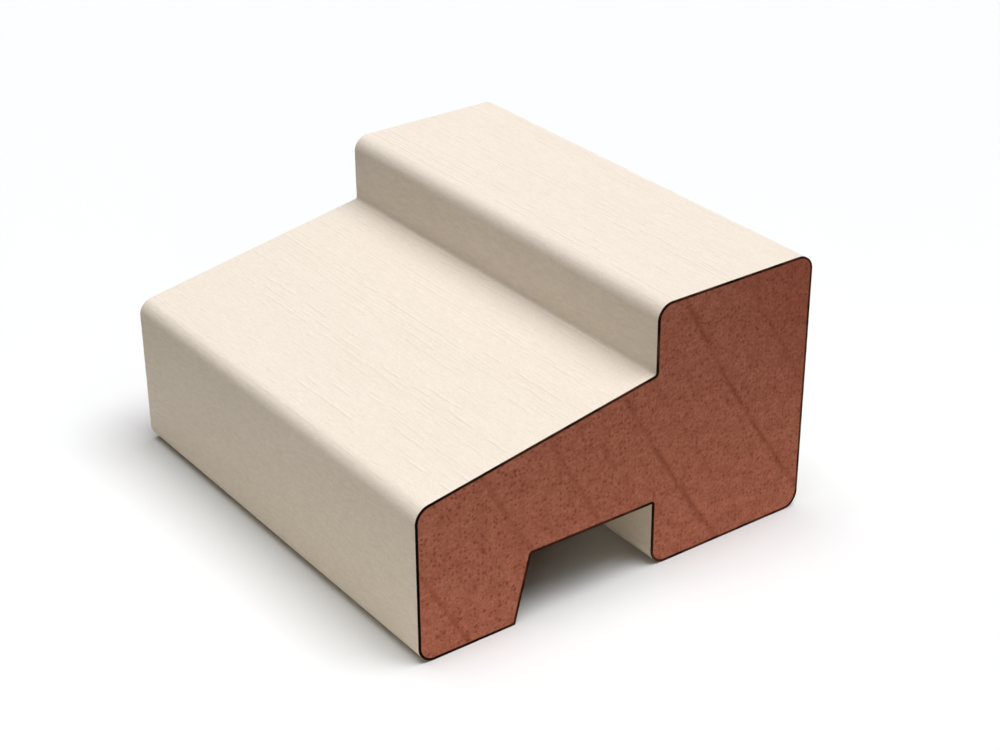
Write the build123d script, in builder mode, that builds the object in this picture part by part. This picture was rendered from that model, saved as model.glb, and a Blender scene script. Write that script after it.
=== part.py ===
"""Frame sill profile: a short length of the sill stock that closes the bottom of a timber window frame.

One stick of hardwood is planed to a blank, and moulded above and below. The top is rebated and weathered,
which leaves a slope that sheds rain and an upstand that the sash closes against. The underside has a groove
with an upright back wall and a leaning front wall, so the sill stands on a front foot and a back foot.

Frame: X runs along the stick, Y from the weather side (-) to the room side (+), Z up. The origin is the
middle of the footprint, on the surface that the sill stands on. Millimetres.
"""

import os
from math import radians, tan

from build123d import *

# Driving dimensions: the planed blank
sill_length = 122.0
stock_depth = 110.0
stock_height = 67.0

# Driving dimensions: the rebate and the weathering on top
upstand_width = 45.5
rebate_depth = 17.0
weathering_angle = 10.0

# Driving dimensions: the groove in the underside
front_foot_width = 25.5
back_foot_width = 45.5
groove_depth = 17.0
groove_flare = 4.5

# Driving dimensions: the rounding of the corners
arris_radius = 4.0
rebate_corner_radius = 0.6
groove_corner_radius = 0.5

# Lines of the section that follow from them
nose_face = -stock_depth / 2
back_face = stock_depth / 2
stop_face = back_face - upstand_width
weathering_top = stock_height - rebate_depth
weathering_fall = (stop_face - nose_face) * tan(radians(weathering_angle))
nose_top = weathering_top - weathering_fall
drip_edge = nose_face + front_foot_width
groove_front = drip_edge + groove_flare
groove_back = back_face - back_foot_width

# Corners of the section, as (Y, Z), before they are rounded
nose_toe = (nose_face, 0)
nose_brow = (nose_face, nose_top)
rebate_corner = (stop_face, weathering_top)
upstand_front = (stop_face, stock_height)
upstand_back = (back_face, stock_height)
back_heel = (back_face, 0)
groove_lip = (groove_back, 0)
groove_back_corner = (groove_back, groove_depth)
groove_front_corner = (groove_front, groove_depth)
groove_drip = (drip_edge, 0)

# Exposed arrises are rounded so that paint holds on them. The drip edge stays sharp, so that water drops off.
rounded_arrises = [nose_toe, nose_brow, upstand_front, upstand_back, back_heel, groove_lip]
groove_corners = [groove_back_corner, groove_front_corner]


with BuildPart() as sill:
    with BuildSketch(Plane.YZ.offset(-sill_length / 2)) as section:
        # The planed blank
        Rectangle(stock_depth, stock_height, align=(Align.CENTER, Align.MIN))

        # The rebate and the weathering, taken off the top towards the weather side
        with BuildLine():
            Polyline(nose_brow, rebate_corner, upstand_front, (nose_face, stock_height), close=True)
        make_face(mode=Mode.SUBTRACT)

        # The groove, taken out of the underside
        with BuildLine():
            Polyline(groove_drip, groove_front_corner, groove_back_corner, groove_lip, close=True)
        make_face(mode=Mode.SUBTRACT)

        def corners_at(points):
            """The section's corners that lie at these points."""
            return [section.vertices().sort_by_distance(point)[0] for point in points]

        fillet(corners_at(rounded_arrises), radius=arris_radius)
        fillet(corners_at([rebate_corner]), radius=rebate_corner_radius)
        fillet(corners_at(groove_corners), radius=groove_corner_radius)

    # The stick, moulded to that section from end to end and sawn square
    extrude(amount=sill_length)

sill.part.label = "sill_profile"

os.makedirs("parts", exist_ok=True)
export_step(sill.part, "parts/sill_profile.step")
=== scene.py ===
import math

import bmesh
import bpy
from mathutils import Matrix, Vector, noise


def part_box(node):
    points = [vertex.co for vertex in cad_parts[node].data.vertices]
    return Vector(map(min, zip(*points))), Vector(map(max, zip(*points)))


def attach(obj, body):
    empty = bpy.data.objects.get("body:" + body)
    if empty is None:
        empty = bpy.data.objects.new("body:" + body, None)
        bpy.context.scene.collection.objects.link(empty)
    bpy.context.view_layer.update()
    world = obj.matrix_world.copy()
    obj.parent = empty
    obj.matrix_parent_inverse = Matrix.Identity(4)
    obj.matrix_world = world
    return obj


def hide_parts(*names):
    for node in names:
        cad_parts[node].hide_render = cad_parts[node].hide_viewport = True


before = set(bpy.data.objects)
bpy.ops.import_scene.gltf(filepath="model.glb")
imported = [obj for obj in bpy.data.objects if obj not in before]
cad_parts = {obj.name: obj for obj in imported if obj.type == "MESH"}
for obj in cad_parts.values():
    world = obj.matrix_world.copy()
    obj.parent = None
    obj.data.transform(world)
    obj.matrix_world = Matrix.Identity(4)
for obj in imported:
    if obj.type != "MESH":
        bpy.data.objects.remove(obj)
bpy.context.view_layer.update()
scene = bpy.context.scene
scene.view_settings.view_transform = "Standard"


# The camera
# It stands at the photograph's viewing point, to the front right of the sill and above it, and looks down
# on the slope, the upstand and the sawn end through a moderately long lens.
camera_place = Vector((0.36865, -0.25637, 0.26905))
camera_aim = Vector((0.01529, 0.0, 0.03353))
camera_roll = math.radians(-0.412)
sensor_width_mm = 36.0
lens_mm = 75.512
nearest_seen = 0.01
farthest_seen = 50.0

camera_data = bpy.data.cameras.new("camera")
camera_data.sensor_width = sensor_width_mm
camera_data.lens = lens_mm
camera_data.clip_start = nearest_seen
camera_data.clip_end = farthest_seen
camera = bpy.data.objects.new("camera", camera_data)
scene.collection.objects.link(camera)
upright_turn = (camera_aim - camera_place).to_track_quat("-Z", "Y").to_matrix()
camera.matrix_world = (
    Matrix.Translation(camera_place)
    @ upright_turn.to_4x4()
    @ Matrix.Rotation(camera_roll, 4, "Z")
)
scene.camera = camera


# The sill
# One stick of red hardwood, planed and moulded to its section, primed cream on the planed faces and sawn
# square. The grain still shows through the primer, and the arris of the cut is a thin dark line.
upstand_width = 0.0455
rebate_depth = 0.017
weathering_angle = math.radians(10)
front_foot_width = 0.0255
back_foot_width = 0.0455
groove_depth = 0.017
groove_flare = 0.0045
arris_radius = 0.004
rebate_corner_radius = 0.0006
groove_corner_radius = 0.0005

sill_low, sill_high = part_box("sill_profile")
stop_y = sill_high.y - upstand_width
slope_top_z = sill_high.z - rebate_depth
nose_top_z = slope_top_z - (stop_y - sill_low.y) * math.tan(weathering_angle)
drip_y = sill_low.y + front_foot_width
groove_back_y = sill_high.y - back_foot_width
groove_top_z = sill_low.z + groove_depth

# The section's corners as (Y, Z, radius of the rounding), from the toe of the nose along the underside
# and round
section_corners = [
    (sill_low.y, sill_low.z, arris_radius),
    (drip_y, sill_low.z, 0.0),
    (drip_y + groove_flare, groove_top_z, groove_corner_radius),
    (groove_back_y, groove_top_z, groove_corner_radius),
    (groove_back_y, sill_low.z, arris_radius),
    (sill_high.y, sill_low.z, arris_radius),
    (sill_high.y, sill_high.z, arris_radius),
    (stop_y, sill_high.z, arris_radius),
    (stop_y, slope_top_z, rebate_corner_radius),
    (sill_low.y, nose_top_z, arris_radius),
]
arris_pitch = 0.00045
fewest_arc_steps = 4
primer_index, groove_shade_index, cut_line_index, end_grain_index = range(4)

sill_mesh = bmesh.new()
corner_verts = [sill_mesh.verts.new((sill_low.x, y, z)) for y, z, radius in section_corners]
sill_mesh.faces.new(corner_verts)

# Each corner is rounded to its own radius, from the two points where the arc leaves the straight faces
setbacks = []
for index, (y, z, radius) in enumerate(section_corners):
    corner = corner_verts[index].co
    before = corner_verts[index - 1].co - corner
    after = corner_verts[(index + 1) % len(corner_verts)].co - corner
    setbacks.append(radius / math.tan(before.angle(after) / 2))
for vert, setback, (y, z, radius) in zip(corner_verts, setbacks, section_corners):
    if radius:
        turn_length = math.pi / 2 * radius
        bmesh.ops.bevel(
            sill_mesh, geom=[vert], offset=setback, offset_type="OFFSET", affect="VERTICES",
            segments=max(fewest_arc_steps, round(turn_length / arris_pitch)), profile=0.5, material=-1,
        )

# The flats are divided, and most finely on top, so that the grain can stand in relief there
grain_pitch = 0.00017
upright_pitch = 0.0004
underside_pitch = 0.0012
for edge in list(sill_mesh.edges):
    run = edge.verts[1].co - edge.verts[0].co
    middle = (edge.verts[0].co + edge.verts[1].co) / 2
    if middle.z < groove_top_z + groove_corner_radius:
        pitch = underside_pitch
    elif abs(run.y) > abs(run.z):
        pitch = grain_pitch
    else:
        pitch = upright_pitch
    cuts = round(run.length / pitch) - 1
    if cuts > 0:
        bmesh.ops.subdivide_edges(sill_mesh, edges=[edge], cuts=cuts)

# Every point of the section keeps how far round it lies, which the grain follows
section_face = sill_mesh.faces[:][0]
round_section = sill_mesh.verts.layers.float.new("round_section")
reach = 0.0
for loop in section_face.loops:
    loop.vert[round_section] = reach
    reach += loop.edge.calc_length()

# The section is drawn out along the stick, up to the dark line of the cut, then across that line, and closed
station_pitch = 0.0015
side_line_width = 0.00045
drawn_length = sill_high.x - sill_low.x - side_line_width
stations = round(drawn_length / station_pitch)
drawn = bmesh.ops.spin(
    sill_mesh, geom=list(section_face.edges), cent=(0, 0, 0), axis=(1, 0, 0), angle=0.0, steps=stations,
    dvec=(drawn_length / stations, 0.0, 0.0), use_merge=False, use_normal_flip=False, use_duplicate=False,
)
last_outline = [part for part in drawn["geom_last"] if isinstance(part, bmesh.types.BMEdge)]
line_band = bmesh.ops.extrude_edge_only(sill_mesh, edges=last_outline)["geom"]
end_verts = {part for part in line_band if isinstance(part, bmesh.types.BMVert)}
end_outline = [
    part for part in line_band
    if isinstance(part, bmesh.types.BMEdge) and end_verts.issuperset(part.verts)
]
bmesh.ops.translate(sill_mesh, verts=list(end_verts), vec=(side_line_width, 0.0, 0.0))
for part in line_band:
    if isinstance(part, bmesh.types.BMFace):
        part.material_index = cut_line_index
end_face = bmesh.ops.contextual_create(sill_mesh, geom=end_outline)["faces"][0]
bmesh.ops.recalc_face_normals(sill_mesh, faces=sill_mesh.faces[:])

# Planing leaves the harder grain a few hundredths of a millimetre proud, in thin lines broken into dashes.
# Each raised line is painted paler and the furrow below it darker: painted highlight and painted shade,
# as light from behind would fall on them. Every vertex keeps that painted light.
# It also keeps how upright its face is, because the grain runs out on upright faces in slanting streaks,
# whose relief gets painted light and shade there, as light grazes those faces.
relief_depth = 0.00008
furrow_shift = 0.00038
painted_highlight_share = 0.75
upright_share = 0.25
faint_share = 0.6
faint_shift = 0.0005
jitter_share = 0.14
jitters_per_metre = 260.0
drift_share = 0.3
drifts_per_metre = 40.0
cluster_share = 0.6
clusters_per_metre_along = 9.0
clusters_per_metre_round = 150.0
dash_sharpness = 4.0
usual_boldness = 0.65
boldness_range = 0.9
least_boldness = 0.2
painted_grain_light = sill_mesh.verts.layers.float.new("painted_grain_light")
uprightness = sill_mesh.verts.layers.float.new("uprightness")


def dashed_lines(x, reach, row_pitch, half_width, dashes, crowding):
    """Lines along the stick from 0 to 1, one to a row, each broken into this many dashes a metre or fewer."""
    row = math.floor(reach / row_pitch)
    # A line strays from the middle of its row by shares of the row's width, quickly and slowly. The multiples
    # of the row and the last number in each noise only keep the patterns apart.
    jitter = jitter_share * noise.noise((x * jitters_per_metre, row * 7.7, 2.1))
    drift = drift_share * noise.noise((x * drifts_per_metre, row * 3.9, 6.4))
    off_line = (reach - row_pitch * (row + 0.5 + jitter + drift)) / half_width
    # Dashes crowd together in patches, and some rows are bolder than others
    patch = (x * clusters_per_metre_along, reach * clusters_per_metre_round, 9.1)
    cluster = cluster_share * noise.noise(patch)
    dash = dash_sharpness * (noise.noise((x * dashes, row * 5.3, 4.2)) + cluster) + crowding
    boldness = usual_boldness + boldness_range * noise.noise((row * 3.37, 1.7, 8.8))
    boldness = min(max(boldness, least_boldness), 1.0)
    return boldness * max(0.0, 1.0 - off_line * off_line) * min(max(dash, 0.0), 1.0)


def raised_grain(x, reach):
    """How far the grain stands up, from 0 to 1, at a place along the stick and round the section."""
    strong = dashed_lines(x, reach, row_pitch=0.0024, half_width=0.00034, dashes=140.0, crowding=0.1)
    reach += faint_shift
    faint = dashed_lines(x, reach, row_pitch=0.0011, half_width=0.00026, dashes=240.0, crowding=-0.3)
    return max(strong, faint_share * faint)


# A raised line lies a third of the relief's depth down, plain ground two thirds and a furrow all of it.
# The relief fades out under the feet, so that they stay flat on what they stand on.
sill_mesh.normal_update()
for vert in sill_mesh.verts:
    outward = Vector((0.0, vert.normal.y, vert.normal.z)).normalized()
    share = upright_share + (1.0 - upright_share) * abs(outward.z)
    line = share * raised_grain(vert.co.x, vert[round_section])
    furrow = share * raised_grain(vert.co.x, vert[round_section] - furrow_shift)
    # Painted highlight on the raised line, painted shade in the furrow below it
    vert[painted_grain_light] = painted_highlight_share * line - furrow
    vert[uprightness] = 1.0 - abs(outward.z)
    depth = relief_depth * min(1.0, 1.0 + outward.z)
    vert.co -= outward * depth * (2.0 - line + furrow) / 3.0

# Both sawn faces have a dark rim, made wider along their lower and back edges as painted shade
end_line_width = 0.00055
end_line_shift = Vector((0.0, -0.0001, 0.00015))
for sawn_face in (section_face, end_face):
    rim = bmesh.ops.inset_region(
        sill_mesh, faces=[sawn_face], thickness=end_line_width, use_even_offset=True, use_boundary=True,
    )
    bmesh.ops.translate(sill_mesh, verts=list(sawn_face.verts), vec=end_line_shift)
    for part in rim["faces"]:
        part.material_index = cut_line_index
    sawn_face.material_index = end_grain_index

# The groove's leaning wall and ceiling get a dark brown as painted shade, and the edges of the cut are sharp
sharp_angle = math.radians(30)
for face in sill_mesh.faces:
    face.smooth = True
    middle = face.calc_center_median()
    between_feet = drip_y < middle.y < groove_back_y - groove_corner_radius
    in_groove = between_feet and middle.z < groove_top_z + relief_depth
    # Painted shade inside the groove
    if in_groove and face.material_index == primer_index:
        face.material_index = groove_shade_index
for edge in sill_mesh.edges:
    edge.smooth = edge.calc_face_angle() < sharp_angle

sill_data = bpy.data.meshes.new("primed_sill")
sill_mesh.to_mesh(sill_data)
sill_mesh.free()
sill = bpy.data.objects.new("primed_sill", sill_data)
scene.collection.objects.link(sill)


def add_node(tree, kind, inputs=None, **settings):
    """A node of this kind in the tree, with its settings made and its inputs set or linked."""
    made = tree.nodes.new(kind)
    for name, value in settings.items():
        setattr(made, name, value)
    for socket, value in (inputs or {}).items():
        if isinstance(value, bpy.types.NodeSocket):
            tree.links.new(value, made.inputs[socket])
        else:
            made.inputs[socket].default_value = value
    return made


def new_finish(name):
    """An empty material for one of the finishes, and its node tree."""
    finish = bpy.data.materials.new(name)
    finish.use_nodes = True
    finish.node_tree.nodes.clear()
    return finish, finish.node_tree


def mottle(tree, place, per_metre, detail=2.0, roughness=0.5, lean=0.0):
    """Noise about 0.5 that changes this many times a metre along X, Y and Z, leaning about Y if wanted."""
    leaning = add_node(tree, "ShaderNodeMapping", {"Vector": place, "Rotation": (0.0, lean, 0.0)})
    stretched = add_node(tree, "ShaderNodeMapping", {"Vector": leaning.outputs["Vector"], "Scale": per_metre})
    return add_node(tree, "ShaderNodeTexNoise", {
        "Vector": stretched.outputs["Vector"], "Scale": 1.0, "Detail": detail, "Roughness": roughness,
    }).outputs["Fac"]


def ease(tree, value, start, end, low=0.0, high=1.0):
    """A value that goes smoothly from low to high while the input goes from start to end."""
    return add_node(tree, "ShaderNodeMapRange", {
        "Value": value, "From Min": start, "From Max": end, "To Min": low, "To Max": high,
    }, interpolation_type="SMOOTHSTEP").outputs["Result"]


def reckon(tree, operation, first, second):
    """Arithmetic on two values."""
    return add_node(tree, "ShaderNodeMath", {0: first, 1: second}, operation=operation).outputs["Value"]


def tint(tree, share, ground, over):
    """One colour laid over another by a share from 0 to 1."""
    return add_node(tree, "ShaderNodeMix", {0: share, 6: ground, 7: over}, data_type="RGBA").outputs[2]


def relief(tree, height, depth):
    """The surface's normal where the height, from 0 to 1, stands up by this depth in metres."""
    return add_node(tree, "ShaderNodeBump", {
        "Height": height, "Distance": depth, "Strength": 1.0,
    }).outputs["Normal"]


# Cream primer, satin, thin enough that the grain telegraphs through it as fine broken lines along the
# stick. Inside the groove a dark brown stands in as painted shade.
primer_tones = (0.905, 0.816, 0.716, 1.0), (0.763, 0.672, 0.569, 1.0)
groove_shade_tones = (0.33, 0.235, 0.165, 1.0), (0.25, 0.17, 0.115, 1.0)
painted_grain_light_strength = 0.52
primer_relief = 0.00002
runout_angle = math.radians(12)


def primed(name, pale, deep):
    """A satin primer between two tones."""
    finish, tree = new_finish(name)
    place = add_node(tree, "ShaderNodeTexCoord").outputs["Object"]
    grain_light_and_shade = add_node(tree, "ShaderNodeAttribute", attribute_name="painted_grain_light").outputs["Fac"]
    upright = add_node(tree, "ShaderNodeAttribute", attribute_name="uprightness").outputs["Fac"]
    fibres = mottle(tree, place, per_metre=(350.0, 1500.0, 1500.0), roughness=0.6)
    bands = mottle(tree, place, per_metre=(40.0, 240.0, 240.0))
    stipple = mottle(tree, place, per_metre=(1900.0, 1900.0, 1900.0), roughness=0.6)
    streaks = mottle(tree, place, per_metre=(330.0, 1200.0, 1200.0), roughness=0.6, lean=runout_angle)
    # Slanting streaks with painted light and shade, on upright faces only, where light grazes the relief
    streak_painted_light = ease(tree, streaks, start=0.25, end=0.75, low=-0.2, high=0.2)
    # The grain's painted highlight and painted shade, kept on the vertices
    shade = reckon(tree, "MULTIPLY", grain_light_and_shade, -painted_grain_light_strength)
    for part in (
        ease(tree, fibres, start=0.2, end=0.8, high=0.25),
        ease(tree, bands, start=0.25, end=0.75, low=0.17, high=0.27),
        ease(tree, stipple, start=0.2, end=0.8, high=0.45),
        reckon(tree, "MULTIPLY", upright, streak_painted_light),
    ):
        shade = reckon(tree, "ADD", shade, part)
    height = reckon(tree, "ADD", fibres, reckon(tree, "MULTIPLY", stipple, 0.5))
    shader = add_node(tree, "ShaderNodeBsdfPrincipled", {
        "Base Color": tint(tree, shade, pale, deep),
        "Roughness": ease(tree, fibres, start=0.3, end=0.7, low=0.46, high=0.56),
        "Normal": relief(tree, height, primer_relief),
    })
    add_node(tree, "ShaderNodeOutputMaterial", {"Surface": shader.outputs["BSDF"]})
    return finish


sill_data.materials.append(primed("cream_primer", *primer_tones))
sill_data.materials.append(primed("groove_painted_shade", *groove_shade_tones))

# The line of the cut: a dull dark line round each sawn face, near black at the nose and browner behind,
# in patches
cut_black = (0.005, 0.003, 0.002, 1.0)
cut_brown = (0.12, 0.042, 0.024, 1.0)

cut_line, tree = new_finish("dark_cut_line")
place = add_node(tree, "ShaderNodeTexCoord").outputs["Object"]
across = add_node(tree, "ShaderNodeSeparateXYZ", {"Vector": place}).outputs["Y"]
patches = ease(tree, mottle(tree, place, per_metre=(160.0, 160.0, 160.0)), start=0.35, end=0.65, low=0.1)
from_nose = add_node(tree, "ShaderNodeMapRange", {
    "Value": across, "From Min": sill_low.y, "From Max": sill_high.y,
}).outputs["Result"]
brown_share = reckon(tree, "MULTIPLY", patches, reckon(tree, "POWER", from_nose, 0.5))
shader = add_node(tree, "ShaderNodeBsdfPrincipled", {
    "Base Color": tint(tree, brown_share, cut_black, cut_brown),
    "Roughness": 1.0,
    "Specular IOR Level": 0.0,
})
add_node(tree, "ShaderNodeOutputMaterial", {"Surface": shader.outputs["BSDF"]})
sill_data.materials.append(cut_line)

# Bare end grain: growth rings about a pith above and behind the stick, rays across them, open pores and a
# mottle. It is redder and deeper close to the pith, as heartwood and as painted shade over the upper back
# of the end, and darker towards the nose as painted shade, where the pores also show more.
grain_brown = (0.556, 0.196, 0.124, 1.0)
heart_and_shade_brown = (0.513, 0.158, 0.098, 1.0)
nose_shade_brown = (0.3, 0.13, 0.09, 1.0)
fleck_brown = (0.68, 0.27, 0.17, 1.0)
ring_brown = (0.28, 0.07, 0.038, 1.0)
pore_brown = (0.19, 0.04, 0.02, 1.0)
pith_y = 0.418
pith_z = 0.272
heart_radius = 0.424
heart_edge_radius = 0.446
innermost_ring = 0.41
outermost_ring = 0.56
middle_ring = 0.48
ring_half_width = 0.001
ring_ripple = 0.0012
ring_strength = 0.9
pore_raggedness = 0.0006
rags_per_metre = 1400.0
empty_pore_size = 0.001
sawn_relief = 0.00008
# Each ring's radius about the pith and how dark it is
growth_rings = [
    (0.4345, 0.5),
    (0.4505, 0.9),
    (0.466, 0.25),
    (0.474, 1.0),
    (0.484, 0.35),
    (0.494, 0.6),
    (0.511, 0.7),
    (0.534, 0.9),
]

end_grain, tree = new_finish("sawn_end_grain")
place = add_node(tree, "ShaderNodeTexCoord").outputs["Object"]
split = add_node(tree, "ShaderNodeSeparateXYZ", {"Vector": place})
across = split.outputs["Y"]
up = split.outputs["Z"]
on_cut = add_node(tree, "ShaderNodeCombineXYZ", {"X": across, "Y": up}).outputs["Vector"]

# The rings wander a little from true circles and come and go along their length
radius = add_node(tree, "ShaderNodeVectorMath", {0: on_cut, 1: (pith_y, pith_z, 0.0)}, operation="DISTANCE")
ripple = reckon(tree, "MULTIPLY", mottle(tree, on_cut, per_metre=(90.0, 90.0, 90.0)), ring_ripple)
radius = reckon(tree, "ADD", radius.outputs["Value"], reckon(tree, "SUBTRACT", ripple, ring_ripple / 2))
ring_scale = add_node(tree, "ShaderNodeMapRange", {
    "Value": radius, "From Min": innermost_ring, "From Max": outermost_ring,
})
rings = add_node(tree, "ShaderNodeValToRGB", {"Fac": ring_scale.outputs["Result"]})
rings.color_ramp.interpolation = "EASE"
for ring, darkness in growth_rings:
    for distance, strength in ((-ring_half_width, 0.0), (0.0, darkness), (ring_half_width, 0.0)):
        spot = (ring + distance - innermost_ring) / (outermost_ring - innermost_ring)
        stop = rings.color_ramp.elements.new(spot)
        stop.color = (strength, strength, strength, 1.0)
for stop in (rings.color_ramp.elements[0], rings.color_ramp.elements[-1]):
    stop.color = (0.0, 0.0, 0.0, 1.0)
broken = ease(tree, mottle(tree, on_cut, per_metre=(110.0, 110.0, 110.0)), start=0.35, end=0.65, low=0.4)
ring_share = reckon(tree, "MULTIPLY", rings.outputs["Color"], broken)

# Rays run towards the pith, so their noise is stretched along the radius and fine round the ring
above_pith = reckon(tree, "SUBTRACT", up, pith_z)
behind_pith = reckon(tree, "SUBTRACT", across, pith_y)
turn = reckon(tree, "ARCTAN2", above_pith, behind_pith)
round_pith = add_node(tree, "ShaderNodeCombineXYZ", {
    "X": radius, "Y": reckon(tree, "MULTIPLY", turn, middle_ring),
}).outputs["Vector"]
rays = mottle(tree, round_pith, per_metre=(500.0, 1900.0, 1.0), roughness=0.6)


def pores(tree, place, per_metre, largest, empty_share):
    """Dark dots of uneven size, one to a cell, with a share of the cells left as good as empty."""
    cells = add_node(tree, "ShaderNodeTexVoronoi", {
        "Vector": place, "Scale": per_metre,
    }, voronoi_dimensions="2D")
    chance = add_node(tree, "ShaderNodeSeparateColor", {"Color": cells.outputs["Color"]}).outputs["Red"]
    size = add_node(tree, "ShaderNodeMapRange", {
        "Value": chance, "From Min": empty_share, "From Max": 1.0,
        "To Min": empty_pore_size, "To Max": largest * per_metre,
    }).outputs["Result"]
    return ease(tree, cells.outputs["Distance"], start=0.0, end=size, low=1.0, high=0.0)


wander = add_node(tree, "ShaderNodeTexNoise", {
    "Vector": on_cut, "Scale": rags_per_metre, "Detail": 1.0,
}).outputs["Color"]
stray = add_node(tree, "ShaderNodeVectorMath", {0: wander, "Scale": pore_raggedness}, operation="SCALE")
ragged = add_node(tree, "ShaderNodeVectorMath", {0: on_cut, 1: stray.outputs["Vector"]}, operation="ADD")
ragged = ragged.outputs["Vector"]
vessels = reckon(
    tree, "MAXIMUM",
    pores(tree, ragged, per_metre=480.0, largest=0.0009, empty_share=0.35),
    pores(tree, ragged, per_metre=900.0, largest=0.0006, empty_share=0.4),
)

# The tones are laid over each other from the broadest to the finest
cloud = mottle(tree, on_cut, per_metre=(300.0, 300.0, 300.0), detail=4.0, roughness=0.65)
speckle = mottle(tree, on_cut, per_metre=(1200.0, 1200.0, 1200.0), roughness=0.7)
flecks = mottle(tree, on_cut, per_metre=(1500.0, 1500.0, 1500.0), detail=1.0)
behind_y = sill_high.y / 2
openness = ease(tree, across, start=sill_low.y, end=behind_y, low=0.8, high=0.6)
ground = grain_brown
for share, over in (
    # Painted shade: deeper near the pith, over the upper back of the end, and darker towards the nose
    (ease(tree, radius, start=heart_radius, end=heart_edge_radius, low=1.0, high=0.0), heart_and_shade_brown),
    (ease(tree, across, start=sill_low.y, end=behind_y, low=0.15, high=0.0), nose_shade_brown),
    (ease(tree, flecks, start=0.5, end=0.75, high=0.2), fleck_brown),
    (ease(tree, cloud, start=0.3, end=0.7, high=0.42), ring_brown),
    (ease(tree, speckle, start=0.35, end=0.75, high=0.5), ring_brown),
    (ease(tree, rays, start=0.45, end=0.75, high=0.35), ring_brown),
    (reckon(tree, "MULTIPLY", ring_share, ring_strength), ring_brown),
    (reckon(tree, "MULTIPLY", vessels, openness), pore_brown),
):
    ground = tint(tree, share, ground, over)
height = reckon(tree, "SUBTRACT", reckon(tree, "MULTIPLY", speckle, 0.5), vessels)
shader = add_node(tree, "ShaderNodeBsdfPrincipled", {
    "Base Color": ground,
    "Roughness": 0.85,
    "Specular IOR Level": 0.2,
    "Normal": relief(tree, height, sawn_relief),
})
add_node(tree, "ShaderNodeOutputMaterial", {"Surface": shader.outputs["BSDF"]})
sill_data.materials.append(end_grain)

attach(sill, "root")
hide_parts("sill_profile")


# The stage
# A white floor with painted shade in the corner under the sill, and a white surround that runs on from
# it. Soft lamps stand overhead and behind to the right, and weaker ones to the right, to the left and low
# in front. The floor gives their light back only close to the sill, as a small white board would.
floor_half = 0.8
floor_white = (0.9, 0.91, 0.918, 1.0)
floor_painted_shade = (0.632, 0.642, 0.652, 1.0)
painted_shade_reach = 0.026
floor_bounce = (0.705, 0.662, 0.58, 1.0)
floor_dark = (0.0, 0.0, 0.0, 1.0)
bounce_near = 0.13
bounce_far = 0.19
surround_white = (1.0, 1.0, 1.0, 1.0)
lamp_spread = math.radians(40)
# Each lamp's name, its elevation and its azimuth from +X towards +Y in degrees, and the light it gives. A
# lamp of 1.0 straight overhead would light a white surface to full white.
lamps = [
    ("overhead", 83, 270, 0.37),
    ("key", 72, 50, 0.605),
    ("right", 55, 40, 0.13),
    ("left", 45, 180, 0.055),
]
front_lamp_place = Vector((0.22, -0.24, 0.085))
front_lamp_aim = Vector((0.0, -0.055, 0.02))
front_lamp_size = 0.12
front_lamp_watts = 0.13
front_lamp_colour = (1.06, 1.0, 0.86)


def in_view(tree):
    """1 for rays from the camera, straight or by a mirror or glass, and 0 for rays that carry light."""
    ray = add_node(tree, "ShaderNodeLightPath")
    mirrored = reckon(tree, "MAXIMUM", ray.outputs["Is Glossy Ray"], ray.outputs["Is Transmission Ray"])
    return reckon(tree, "MAXIMUM", ray.outputs["Is Camera Ray"], mirrored)


floor_mesh = bmesh.new()
bmesh.ops.create_grid(floor_mesh, x_segments=1, y_segments=1, size=floor_half)
floor_data = bpy.data.meshes.new("floor")
floor_mesh.to_mesh(floor_data)
floor_mesh.free()
floor = bpy.data.objects.new("floor", floor_data)
scene.collection.objects.link(floor)

white_floor, tree = new_finish("white_floor")
# Painted shade: the floor seen from the camera darkens where it is hemmed in close to the sill
clear_share = add_node(tree, "ShaderNodeAmbientOcclusion", {"Distance": painted_shade_reach}).outputs["AO"]
seen_floor = tint(tree, clear_share, floor_painted_shade, floor_white)
place = add_node(tree, "ShaderNodeTexCoord").outputs["Object"]
away = add_node(tree, "ShaderNodeVectorMath", {0: place}, operation="LENGTH").outputs["Value"]
near_share = ease(tree, away, start=bounce_near, end=bounce_far, low=1.0, high=0.0)
lit_floor = tint(tree, near_share, floor_dark, floor_bounce)
shader = add_node(tree, "ShaderNodeBsdfDiffuse", {
    "Color": tint(tree, in_view(tree), lit_floor, seen_floor),
})
add_node(tree, "ShaderNodeOutputMaterial", {"Surface": shader.outputs["BSDF"]})
floor_data.materials.append(white_floor)

for name, elevation, azimuth, strength in lamps:
    lamp_data = bpy.data.lights.new(name, "SUN")
    lamp_data.angle = lamp_spread
    lamp_data.energy = math.pi * strength
    lamp = bpy.data.objects.new(name, lamp_data)
    scene.collection.objects.link(lamp)
    rise = math.radians(elevation)
    turn = math.radians(azimuth)
    towards = Vector((math.cos(rise) * math.cos(turn), math.cos(rise) * math.sin(turn), math.sin(rise)))
    lamp.rotation_mode = "QUATERNION"
    lamp.rotation_quaternion = towards.to_track_quat("Z", "Y")

front_data = bpy.data.lights.new("front", "AREA")
front_data.size = front_lamp_size
front_data.energy = front_lamp_watts
front_data.color = front_lamp_colour
front = bpy.data.objects.new("front", front_data)
scene.collection.objects.link(front)
front.location = front_lamp_place
front.rotation_mode = "QUATERNION"
front.rotation_quaternion = (front_lamp_place - front_lamp_aim).to_track_quat("Z", "Y")

world = bpy.data.worlds.new("white_surround")
world.use_nodes = True
tree = world.node_tree
tree.nodes.clear()
surround = add_node(tree, "ShaderNodeBackground", {"Color": surround_white, "Strength": in_view(tree)})
add_node(tree, "ShaderNodeOutputWorld", {"Surface": surround.outputs["Background"]})
scene.world = world
